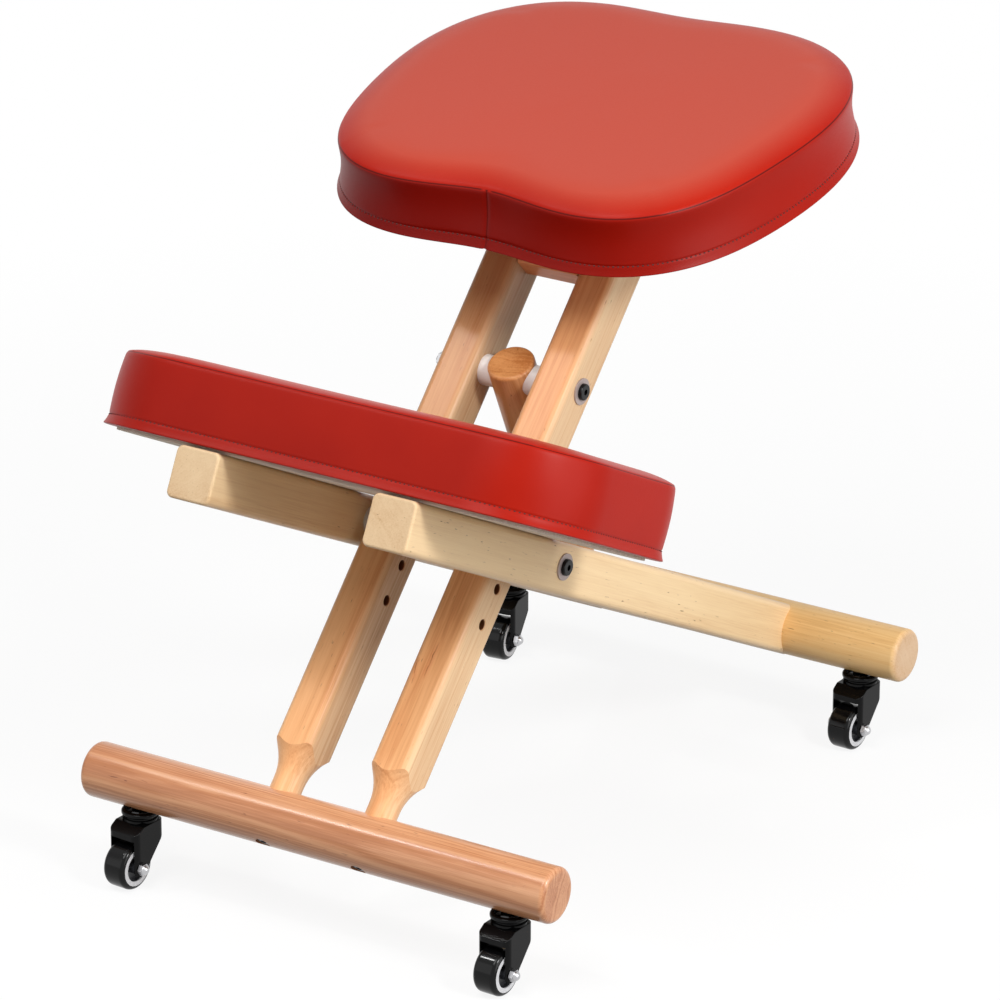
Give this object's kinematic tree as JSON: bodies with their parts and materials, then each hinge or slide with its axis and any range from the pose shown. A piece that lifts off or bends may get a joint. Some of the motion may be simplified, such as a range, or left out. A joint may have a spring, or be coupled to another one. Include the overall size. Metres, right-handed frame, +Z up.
{
  "type": "kneeling chair",
  "caption": "Wooden kneeling chair with a tilted seat and a sloping knee cushion on crossed beams, a round strut, two floor bars and swivel casters.",
  "frame": {"origin": "on the floor, under the middle of the object's bounding box", "axes": "+X to the sitter's side that shows on the right in the picture, -Y towards the knee cushion and the front bar, +Y towards the seat and the rear bar, +Z up"},
  "size_m": [0.486, 0.6811, 0.6655],
  "materials": {
    "beech_red_brown": "glossy clear lacquer over reddish-brown beech",
    "beech_honey": "semi-gloss clear lacquer over honey-coloured beech",
    "beech_pale": "semi-gloss clear lacquer over pale beech",
    "plywood": "raw board, pale edge",
    "red_cover": "semi-gloss coated imitation leather with a fine grain",
    "foam": "open-cell upholstery foam",
    "white_nylon": "satin moulded nylon",
    "black_steel": "black oxide on steel",
    "zinc_steel": "bright zinc plate",
    "bright_steel": "polished bearing steel",
    "insert_brass": "turned brass",
    "black_caster_steel": "glossy black coated pressed steel",
    "black_tread": "smooth satin tread"
  },
  "bodies": {
    "frame": {"front_bar": "beech_red_brown", "rear_bar": "beech_pale", "seat_beam_left": "beech_honey", "seat_beam_right": "beech_honey", "knee_beam_left": "beech_pale", "knee_beam_right": "beech_pale", "seat_bearer_left": "beech_honey", "seat_bearer_right": "beech_honey", "top_rail": "beech_honey", "strut": "beech_honey", "strut_cross_dowel": "beech_honey", "strut_spacers": "white_nylon", "crossing_spacers": "white_nylon", "crossing_bolts": "black_steel", "strut_bolt": "black_steel", "bolt_washers": "zinc_steel", "bolt_nuts": "zinc_steel", "bar_bolts": "black_steel", "threaded_inserts": "insert_brass", "bearer_screws": "zinc_steel", "seat_board": "plywood", "seat_foam": "foam", "seat_cover": "red_cover", "knee_board": "plywood", "knee_foam": "foam", "knee_cover": "red_cover", "seat_bolts": "black_steel", "knee_bolts": "black_steel", "tee_nuts": "zinc_steel", "caster_balls": "bright_steel", "caster_front_left_stem": "zinc_steel", "caster_front_left_cup": "black_caster_steel", "caster_front_right_stem": "zinc_steel", "caster_front_right_cup": "black_caster_steel", "caster_rear_left_stem": "zinc_steel", "caster_rear_left_cup": "black_caster_steel", "caster_rear_right_stem": "zinc_steel", "caster_rear_right_cup": "black_caster_steel"},
    "fork_front_left": {"caster_front_left_fork": "black_caster_steel", "caster_front_left_axle": "zinc_steel", "caster_front_left_axle_nut": "zinc_steel"},
    "wheel_front_left": {"caster_front_left_hub": "white_nylon", "caster_front_left_tyre": "black_tread"},
    "fork_front_right": {"caster_front_right_fork": "black_caster_steel", "caster_front_right_axle": "zinc_steel", "caster_front_right_axle_nut": "zinc_steel"},
    "wheel_front_right": {"caster_front_right_hub": "white_nylon", "caster_front_right_tyre": "black_tread"},
    "fork_rear_left": {"caster_rear_left_fork": "black_caster_steel", "caster_rear_left_axle": "zinc_steel", "caster_rear_left_axle_nut": "zinc_steel"},
    "wheel_rear_left": {"caster_rear_left_hub": "white_nylon", "caster_rear_left_tyre": "black_tread"},
    "fork_rear_right": {"caster_rear_right_fork": "black_caster_steel", "caster_rear_right_axle": "zinc_steel", "caster_rear_right_axle_nut": "zinc_steel"},
    "wheel_rear_right": {"caster_rear_right_hub": "white_nylon", "caster_rear_right_tyre": "black_tread"}
  },
  "joints": [
    {"name": "front_left_swivel", "type": "hinge", "parent": "frame", "child": "fork_front_left", "pos_m": [-0.192, -0.28914, 0.05935], "axis": [0, 0, 1], "continuous": true},
    {"name": "front_left_wheel_spin", "type": "hinge", "parent": "fork_front_left", "child": "wheel_front_left", "pos_m": [-0.19336, -0.30859, 0.021], "axis": [0.9976, -0.0698, 0], "continuous": true},
    {"name": "front_right_swivel", "type": "hinge", "parent": "frame", "child": "fork_front_right", "pos_m": [0.192, -0.28914, 0.05935], "axis": [0, 0, 1], "continuous": true},
    {"name": "front_right_wheel_spin", "type": "hinge", "parent": "fork_front_right", "child": "wheel_front_right", "pos_m": [0.19132, -0.30863, 0.021], "axis": [0.9994, -0.0349, 0], "continuous": true},
    {"name": "rear_left_swivel", "type": "hinge", "parent": "frame", "child": "fork_rear_left", "pos_m": [-0.192, 0.31286, 0.05935], "axis": [0, 0, 1], "continuous": true},
    {"name": "rear_left_wheel_spin", "type": "hinge", "parent": "fork_rear_left", "child": "wheel_rear_left", "pos_m": [-0.18962, 0.29351, 0.021], "axis": [0.9925, 0.1219, 0], "continuous": true},
    {"name": "rear_right_swivel", "type": "hinge", "parent": "frame", "child": "fork_rear_right", "pos_m": [0.192, 0.31286, 0.05935], "axis": [0, 0, 1], "continuous": true},
    {"name": "rear_right_wheel_spin", "type": "hinge", "parent": "fork_rear_right", "child": "wheel_rear_right", "pos_m": [0.19132, 0.29337, 0.021], "axis": [0.9994, -0.0349, 0], "continuous": true}
  ]
}
